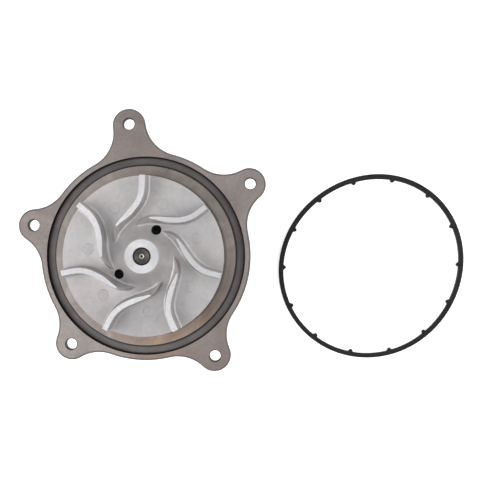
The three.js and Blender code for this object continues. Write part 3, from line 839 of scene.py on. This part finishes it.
def vane_side(edge, top, foot_at, ground, foot):
    """One side of a vane's section, from its top edge down its wall and round the fillet at its foot."""
    slope = (foot_at - edge) / (top - ground)
    wall = [(edge - 0.15, top), (edge, top - 0.15)]
    wall += [(edge + slope * drop, top - drop) for drop in np.linspace(0.15, top - ground - foot, 4)[1:]]
    guides = np.array([
        (foot_at - slope * foot, ground + foot), (foot_at, ground), (foot_at + foot, ground - 0.06),
    ])
    for t in np.linspace(0, 1, 7)[1:]:
        wall.append(tuple(np.array([(1 - t) ** 2, 2 * t * (1 - t), t**2]) @ guides))
    return wall + [(foot_at + foot, ground - 1.5)]


def vane_blank(tip_degrees):
    """One cast vane: an S-curved wall with draft and a soft foot, before its top is skimmed flat.

    Towards the hub its flat top tapers to a point on the vane's hollow side. From there a crest runs down
    to the disc, and the other side leans over in a broad slope.
    """
    path = np.array([polar(r, tip_degrees + past) for r, past in VANE_PATH])
    line = smooth_curve(path, 120)
    tangent = np.gradient(line, axis=0)
    tangent /= np.linalg.norm(tangent, axis=1)[:, None]
    side = np.column_stack([-tangent[:, 1], tangent[:, 0]])
    along = np.linspace(0, 1, len(line))
    floor = disc_height(np.hypot(*line.T))
    lift = np.interp(along, [0, LAND_END - 0.02, LAND_END + 0.02, 0.9, 1], [0.5, 0.4, -0.4, -5.6, -13.6])
    top = np.maximum(VANE_TOP_Z + lift, floor + 0.4 * (1 - along) + 0.05)
    crest = np.interp(along, [0, 0.1, LAND_TAPER, LAND_END, 0.9, 1], [2.05, 1.9, 1.9, 1.65, 0.7, -0.2])
    broad = np.interp(along, [0, 0.1, LAND_TAPER, LAND_END, 0.93, 1], [2.05, 1.9, 1.9, 1.8, 1.4, 0.6])
    taper = np.clip((along - LAND_TAPER) / (LAND_END - LAND_TAPER), 0, 1) ** 1.5
    land = broad - (crest + broad - np.where(along < LAND_END, 1.2, 0.3)) * taper
    rings = []
    for point, across, ground, peak, hollow_side, broad_side, edge in zip(
        line, side, floor, top, crest, broad, land,
    ):
        rise = peak - ground
        foot = min(FOOT_R, FOOT_SHARE * rise)
        draft = DRAFT * rise
        right = vane_side(edge, peak, broad_side + draft, ground, foot)
        left = vane_side(hollow_side, peak, hollow_side + draft, ground, foot)
        ring = []
        for d, z in right + [(-d, z) for d, z in reversed(left)]:
            place = point + across * d
            sunk = min((peak - z) / rise, 1)
            ring.append((*place, z + sunk * (float(disc_height(np.hypot(*place))) - ground)))
        rings.append(ring)
    return stacked("vane", rings)


def ejector_mark(degrees):
    """The shallow round print of a die ejector pin."""
    floor = float(disc_height(MARK_AT_R)) - MARK_DEPTH
    profile = [(0, floor), (MARK_R, floor), (MARK_R + 1, floor + 1), (MARK_R + 1, 74), (0, 74)]
    return lathe("mark", profile, 48, polar(MARK_AT_R, degrees))


def make_impeller():
    pitch = 360 / VANE_COUNT
    tips = [FIRST_TIP_DEG + pitch * k for k in range(VANE_COUNT)]
    wheel = join(impeller_blank(), *[vane_blank(tip) for tip in tips])
    skim = cylinder("skim", 80, VANE_TOP_Z, VANE_TOP_Z + 5)
    rim = lathe("rim", [
        (RIM_R - 0.3, 60), (RIM_R - 0.3, BACK_Z), (RIM_R, BACK_Z + 0.3), (RIM_R, RIM_Z - 0.25),
        (RIM_R - 0.1, RIM_Z), (RIM_R - 0.6, VANE_TOP_Z), (RIM_R - 0.6, 100), (80, 100), (80, 60),
    ], 256)
    pullers = [polar(PULLER_R, tips[vane] + PULLER_PAST_TIP_DEG) for vane in PULLER_VANES]
    holes = [
        threaded_hole("puller", at, BACK_Z, PULLER_THREAD_TOP_Z, PULLER_THREAD, PULLER_BORE_R, 12)
        for at in pullers
    ]
    cut(wheel, skim, rim, *holes, *[ejector_mark(tip + MARK_PAST_TIP_DEG) for tip in tips])

    def finish(f):
        skimmed = f.low > VANE_TOP_Z - 0.02
        hub_face = (f.low > HUB_FACE_Z - 0.5) & (f.far < HUB_FACE_R + 0.3)
        rim_turned = (f.near > RIM_R - 0.7) & (abs(f.up) < 0.9)
        bored = f.far < SHAFT_END_R + 0.8
        threads = f.within(pullers[0], PULLER_BORE_R + 0.3) | f.within(pullers[1], PULLER_BORE_R + 0.3)
        threads &= (f.high < PULLER_THREAD_TOP_Z + 0.1) | (abs(f.up) < 0.3)
        # The puller holes' threads and walls get near-black metal as painted shade.
        return np.select([threads, skimmed | hub_face | rim_turned | bored], [2, 1], 0)

    paint(crease(wheel, 40), ["cast_aluminium", "milled_aluminium", "painted_shade_metal"], finish)
    return stand_for(wheel, "impeller", "rotor")


# ---- shaft and hub ----


def make_shaft():
    top = SHAFT_TOP_Z
    raceway = [
        (min(BALL_PITCH_R - RACE_R * math.cos(a), SHAFT_R), BALL_Z + RACE_R * math.sin(a))
        for a in np.linspace(-0.5, 0.5, 13)
    ]
    back = rounded([
        (0, 2.6, 0), (0.8, 2.6, 0), (0.8, 1.4, 0), (1.9, 0.0, 0), (SHAFT_R - 1, 0, 0), (SHAFT_R, 1, 0.3),
        (SHAFT_R, 30, 0),
    ], closed=False)
    feed_marks = []
    for r in np.arange(SHAFT_END_R - 1.1, CENTRE_R + 0.45, -FEED):
        feed_marks += [(r, top, 0), (r - 0.35 * FEED, top - FEED_DEPTH, 0), (r - 0.7 * FEED, top, 0)]
    front = rounded([
        (SHAFT_R, 45, 0), (SHAFT_R, 65.6, 0.2), (SHAFT_END_R, 66.2, 0.2), (SHAFT_END_R, top - 0.5, 0),
        (SHAFT_END_R - 0.8, top, 0), *feed_marks, (CENTRE_R, top, 0),
        (DRILLING_R, top - CENTRE_DEPTH, 0), (DRILLING_R, top - 3.2, 0), (0, top - 3.5, 0),
    ], closed=False)
    piece = lathe("shaft", back + raceway + front, 96)

    def finish(f):
        in_centre = (f.near > DRILLING_R - 0.1) & (f.far < CENTRE_R + 0.35)
        cone = in_centre & (f.high - f.low > 0.2) & (f.low > top - 0.3)
        drilling = (f.far < DRILLING_R + 0.1) & (f.low > top - 4)
        chamfer = (f.near > SHAFT_END_R - 0.9) & (f.low > top - 0.7)
        # The centre drilling and the end's chamfer get near-black metal as painted shade.
        return np.select([cone, drilling | chamfer], [1, 2], 0)

    paint(crease(piece), ["shaft_steel", "hub_steel", "painted_shade_metal"], finish)
    return stand_for(piece, "pump_shaft", "rotor")


def make_pulley_hub():
    bore = SHAFT_R + 0.3
    blank = spun("hub", [
        (bore + 0.6, 0, 0), (HUB_R, 0, 1), (HUB_R, HUB_THICK, 1), (HUB_BARREL_R, HUB_THICK, 2.5),
        (HUB_BARREL_R, HUB_TOP_Z, 0.6), (bore, HUB_TOP_Z, 0.3), (bore, 0.6, 0),
    ], 160)
    holes = [
        threaded_hole("screw", polar(HUB_BOLT_R, degrees), 0, HUB_THICK, HUB_THREAD, 5.2)
        for degrees in (45, 135, 225, 315)
    ]
    return plain_piece(cut(blank, *holes), "hub_steel", "pulley_hub", "rotor")


# ---- bearing ----


def make_bearing():
    raceway = [
        (max(BALL_PITCH_R + RACE_R * math.cos(a), BEARING_INNER_R), BALL_Z + RACE_R * math.sin(a))
        for a in np.linspace(0.9, -0.9, 13)
    ]
    outside = rounded([
        (BEARING_INNER_R, BEARING_BOTTOM_Z, 0.3), (BEARING_OUTER_R, BEARING_BOTTOM_Z, 0.8),
        (BEARING_OUTER_R, BEARING_TOP_Z, 0.8), (BEARING_INNER_R, BEARING_TOP_Z, 0.3),
        (BEARING_INNER_R, 44, 0),
    ])
    race = lathe("bearing_race", outside + raceway, 96)
    plain_piece(race, "polished_steel", "bearing_outer_ring", "housing")
    for node, bottom in (("bearing_seal_front", 16.1), ("bearing_seal_rear", 43.3)):
        lip = spun(node + "_lip", [
            (8.3, bottom + 0.5, 0.1), (9.6, bottom + 0.2, 0.2), (10.2, bottom, 0.2), (12.75, bottom, 0.3),
            (12.75, bottom + 1.8, 0.3), (10.2, bottom + 1.8, 0.2), (9.6, bottom + 1.5, 0.2),
            (8.3, bottom + 1.1, 0.1),
        ])
        plain_piece(lip, "black_rubber", node, "housing")


def make_rolling_rows():
    half_circle = [(BALL_R * math.sin(a), BALL_Z - BALL_R * math.cos(a)) for a in np.linspace(0, math.pi, 25)]
    for i in range(BALL_COUNT):
        ball = lathe(f"ball_{i + 1}", half_circle, 36, polar(BALL_PITCH_R, 360 * i / BALL_COUNT))
        plain_piece(ball, "polished_steel", f"bearing_ball_{i + 1}", "ball_row")
    end = ROLLER_LENGTH / 2
    roller_line = rounded([
        (0, ROLLER_Z - end, 0), (ROLLER_R, ROLLER_Z - end, 0.4),
        (ROLLER_R, ROLLER_Z + end, 0.4), (0, ROLLER_Z + end, 0),
    ], closed=False)
    for i in range(ROLLER_COUNT):
        roller = lathe(f"roller_{i + 1}", roller_line, 36, polar(ROLLER_PITCH_R, 360 * i / ROLLER_COUNT))
        plain_piece(roller, "polished_steel", f"bearing_roller_{i + 1}", "roller_row")


def cage_ring(name, pitch_r, half_wide, middle_z, half_high):
    """A cage's ring before its windows are cut."""
    inner, outer = pitch_r - half_wide, pitch_r + half_wide
    bottom, top = middle_z - half_high, middle_z + half_high
    corners = [(inner, bottom, 0.3), (outer, bottom, 0.3), (outer, top, 0.3), (inner, top, 0.3)]
    return spun(name, corners)


def make_cages():
    ring = cage_ring("ball_row_cage", BALL_PITCH_R, 1, BALL_Z, BALL_R + 1.1)
    windows = []
    for i in range(BALL_COUNT):
        window = turned(cylinder("window", BALL_R + 0.3, -3, 3, (0, 0), 32), 90, "Y")
        windows.append(turned(moved(window, BALL_PITCH_R, 0, BALL_Z), 360 * i / BALL_COUNT))
    plain_piece(cut(ring, *windows), "cage_plastic", "ball_cage", "ball_row")
    ring = cage_ring("roller_row_cage", ROLLER_PITCH_R, 0.9, ROLLER_Z, ROLLER_LENGTH / 2 + 1.3)
    reach = ROLLER_LENGTH / 2 + 0.3
    windows = [
        cylinder("window", ROLLER_R + 0.3, ROLLER_Z - reach, ROLLER_Z + reach,
                 polar(ROLLER_PITCH_R, 360 * i / ROLLER_COUNT), 32)
        for i in range(ROLLER_COUNT)
    ]
    plain_piece(cut(ring, *windows), "cage_plastic", "roller_cage", "roller_row")


def make_snap_ring():
    gap, inner, outer, bottom, top = 12.0, 17.4, 20.4, 13.5, 15.2
    start, end = math.radians(gap), math.radians(360 - gap)

    def outline(inset):
        slack = inset / inner
        return arc((0, 0), outer - inset, start + slack, end - slack, 80) \
            + arc((0, 0), inner + inset, end - slack, start + slack, 80, backwards=True)

    levels = [(0.2, bottom), (0, bottom + 0.2), (0, top - 0.2), (0.2, top)]
    ring = stacked("snap_ring", [[(x, y, z) for x, y in outline(inset)] for inset, z in levels])
    ends = [polar(inner + 0.2, side * (gap + 6)) for side in (-1, 1)]
    join(ring, *[cylinder("lug", 1.9, bottom, top, at, 32) for at in ends])
    cut(ring, *[cylinder("eye", 0.9, bottom - 1, top + 1, at, 24) for at in ends])
    return plain_piece(ring, "shaft_steel", "bearing_snap_ring", "housing")


# ---- shaft seal ----

SEAL_PIECES = {
    # piece: (CAD node, body, look, corners as (radius, height, rounding))
    "coolant_slinger": ("slinger_ring", "rotor", "pressed_steel", [
        (8.3, 50.2, 0.1), (10.5, 50.2, 0.5), (13.6, 51.0, 0.2), (13.6, 51.8, 0.2), (10.5, 52.2, 0.5),
        (8.3, 52.2, 0.1),
    ]),
    "seal_shell": ("seal_cup", "housing", "pressed_steel", [
        (10, 53, 0.2), (18.3, 53, 1.6), (18.3, 64.1, 0.3), (21.5, 64.1, 0.2), (21.5, 65.0, 0.3),
        (17.4, 65.0, 0.8), (17.4, 53.9, 0.8), (10, 53.9, 0.2),
    ]),
    "bellows": ("seal_bellows", "housing", "black_rubber", [
        (9.4, 54.2, 0.2), (13.4, 54.2, 0.4), (13.4, 55.4, 0.4), (11.4, 56.6, 0.5), (13.4, 57.8, 0.5),
        (11.4, 59.0, 0.5), (13.4, 60.2, 0.5), (13.4, 61.1, 0.3), (9.4, 61.1, 0.2),
    ]),
    "retainer": ("spring_retainer", "housing", "pressed_steel", [
        (9.4, 61.7, 0.1), (16.9, 61.7, 0.3), (16.9, 62.4, 0.3), (13.6, 62.4, 0.5), (13.6, 64.2, 0.2),
        (12.8, 64.2, 0.2), (12.8, 62.4, 0.1), (9.4, 62.4, 0.1),
    ]),
    "carbon_face": ("carbon_face_ring", "housing", "carbon_graphite", [
        (9.6, 62.7, 0.2), (12.5, 62.7, 0.2), (12.5, 65.2, 0.1), (11.8, 65.9, 0.1), (9.6, 65.9, 0.2),
    ]),
    "ceramic_seat": ("ceramic_seat_ring", "rotor", "ceramic", [
        (7.3, 66.2, 0.2), (12.6, 66.2, 0.3), (12.6, 70.1, 0.4), (7.3, 70.1, 0.4),
    ]),
    "seat_boot": ("seat_ring_boot", "rotor", "black_rubber", [
        (6.9, 70.4, 0.2), (12.9, 70.4, 0.2), (12.9, 66.8, 0.2), (14.7, 66.8, 0.5), (14.7, 72.0, 0.6),
        (6.9, 72.0, 0.4),
    ]),
}


def make_shaft_seal():
    for name, (node, body, look, corners) in SEAL_PIECES.items():
        piece = crease(spun(name, corners))
        # Faces beyond the seal bore, under the impeller, get near-black metal as painted shade.
        paint(piece, [look, "painted_shade_metal"], lambda f: np.where(f.far > SEAL_BORE_R, 1, 0))
        stand_for(piece, node, body)


def make_seal_spring():
    """A coil spring of round wire with an even pitch."""
    turns, coil_r, wire_r, bottom, top = 3.5, 15.2, 0.7, 54.9, 60.7
    steps, sides = 200, 14
    rings = []
    for i in range(steps + 1):
        share = i / steps
        angle = 2 * math.pi * turns * share
        z = bottom + (top - bottom) * share
        outward = Vector((math.cos(angle), math.sin(angle), 0))
        centre = outward * coil_r + Vector((0, 0, z))
        rings.append([
            tuple(centre + outward * wire_r * math.cos(a) + Vector((0, 0, wire_r * math.sin(a))))
            for a in np.linspace(0, 2 * math.pi, sides, endpoint=False)
        ])
    piece = stacked("coil_spring", rings)
    return plain_piece(piece, "shaft_steel", "seal_spring", "housing")


# ---- flange seal ring ----


def ring_radius(degrees):
    """The free ring's outer radius: it lies slightly oval."""
    oval = OVAL_SIZE * math.cos(math.radians(2 * (degrees - OVAL_DEG)))
    return RING_R + oval + LOBE_SIZE * math.cos(math.radians(3 * (degrees - LOBE_DEG)))


def oval_degrees(degrees):
    """The direction of a place on the oval, from the direction it has when the ring is pressed round."""
    shift = math.degrees(OVAL_SIZE / (2 * RING_R))
    return degrees - shift * math.sin(math.radians(2 * (degrees - OVAL_DEG)))


def nub_rise(degrees):
    """How far the inner side stands in at an angle: small rounded teeth at an even pitch."""
    pitch = 360 / NUB_COUNT
    past = abs((degrees + pitch / 2) % pitch - pitch / 2)
    return NUB_HEIGHT * float(smoothstep((NUB_HALF_DEG - past) / (NUB_HALF_DEG - 0.35)))


def make_seal_ring():
    """The ring lies slightly rolled: towards ROLL_DEG it shows a little wider and further out."""
    pitch = 360 / NUB_COUNT
    near_nub = 2.4
    on_nub = np.linspace(-near_nub, near_nub, 25)
    spots = np.concatenate([on_nub, np.linspace(near_nub, pitch - near_nub, 24)[1:-1]])
    degrees = np.concatenate([pitch * k + spots for k in range(NUB_COUNT)])
    sections = []
    for place in degrees:
        angle = oval_degrees(place)
        roll = 1 + math.cos(math.radians(angle - ROLL_DEG))
        outer = ring_radius(angle) + ROLL_OUT * roll
        inner = outer - RING_WIDTH - WIDER - ROLL_WIDER * roll - nub_rise(place)
        corners = [(inner, 0, 0.7), (outer, 0, 0.9), (outer, RING_HEIGHT, 0.8), (inner, RING_HEIGHT, 0.7)]
        sections.append([
            (*(np.array(polar(r, angle)) + RING_CENTRE), z) for r, z in rounded(corners, steps=4)
        ])
    ring = stacked("seal_ring", sections, capped=False)
    return plain_piece(ring, "black_rubber", "flange_seal_ring", "seal_ring")


# ---- stage ----

LIGHTS_AIM = (0.06, 0, 0.03)
HORIZON, ZENITH = 1.0, 0.75  # brightness of the studio round the object
CAMERA_PLACE, CAMERA_LENS = (0.0726, 0.0121, 0.8), 72.86


def make_floor():
    half, below = 30000, -0.3
    corners = [(-half, -half, below), (half, -half, below), (half, half, below), (-half, half, below)]
    floor = new_object("floor", corners, [[0, 1, 2, 3]])
    look = Look("floor", 0.0, 0.9)
    look.colour((0.93, 0.93, 0.93, 1))
    look.bsdf.inputs["Emission Color"].default_value = (1, 1, 1, 1)
    look.bsdf.inputs["Emission Strength"].default_value = 0.55
    floor.data.materials.append(look.material)


def soft_box(name, place, size, watts):
    light = bpy.data.lights.new(name, "AREA")
    light.shape = "SQUARE"
    light.size = size
    light.energy = watts
    obj = placed(name, light)
    obj.location = place
    obj.rotation_mode = "QUATERNION"
    obj.rotation_quaternion = (Vector(LIGHTS_AIM) - Vector(place)).to_track_quat("-Z", "Y")


def make_lights():
    world = bpy.data.worlds.new("studio")
    world.use_nodes = True
    tree = world.node_tree
    height = tree.nodes.new("ShaderNodeSeparateXYZ")
    tree.links.new(tree.nodes.new("ShaderNodeTexCoord").outputs["Generated"], height.inputs[0])
    strength = tree.nodes.new("ShaderNodeMapRange")
    for socket, value in zip(("From Min", "From Max", "To Min", "To Max"), (0.05, 0.7, HORIZON, ZENITH)):
        strength.inputs[socket].default_value = value
    tree.links.new(height.outputs["Z"], strength.inputs["Value"])
    background = tree.nodes["Background"]
    background.inputs["Color"].default_value = (1, 1, 1, 1)
    tree.links.new(strength.outputs[0], background.inputs["Strength"])
    bpy.context.scene.world = world
    soft_box("key", (-0.87, -0.24, 1.05), 0.85, 10.8)
    soft_box("fill", (1.0, 0.15, 1.15), 0.9, 8)


def make_camera():
    """Straight above, a little to the right of the pump, as far off as the parallax of its levels needs."""
    camera = bpy.data.cameras.new("camera")
    camera.sensor_width = 36
    camera.lens = CAMERA_LENS
    obj = placed("camera", camera)
    obj.location = CAMERA_PLACE
    bpy.context.scene.camera = obj


make_housing()
make_impeller()
make_shaft()
make_pulley_hub()
make_bearing()
make_rolling_rows()
make_cages()
make_snap_ring()
make_shaft_seal()
make_seal_spring()
make_seal_ring()
make_floor()
make_lights()
make_camera()
bpy.context.scene.view_settings.view_transform = "Standard"
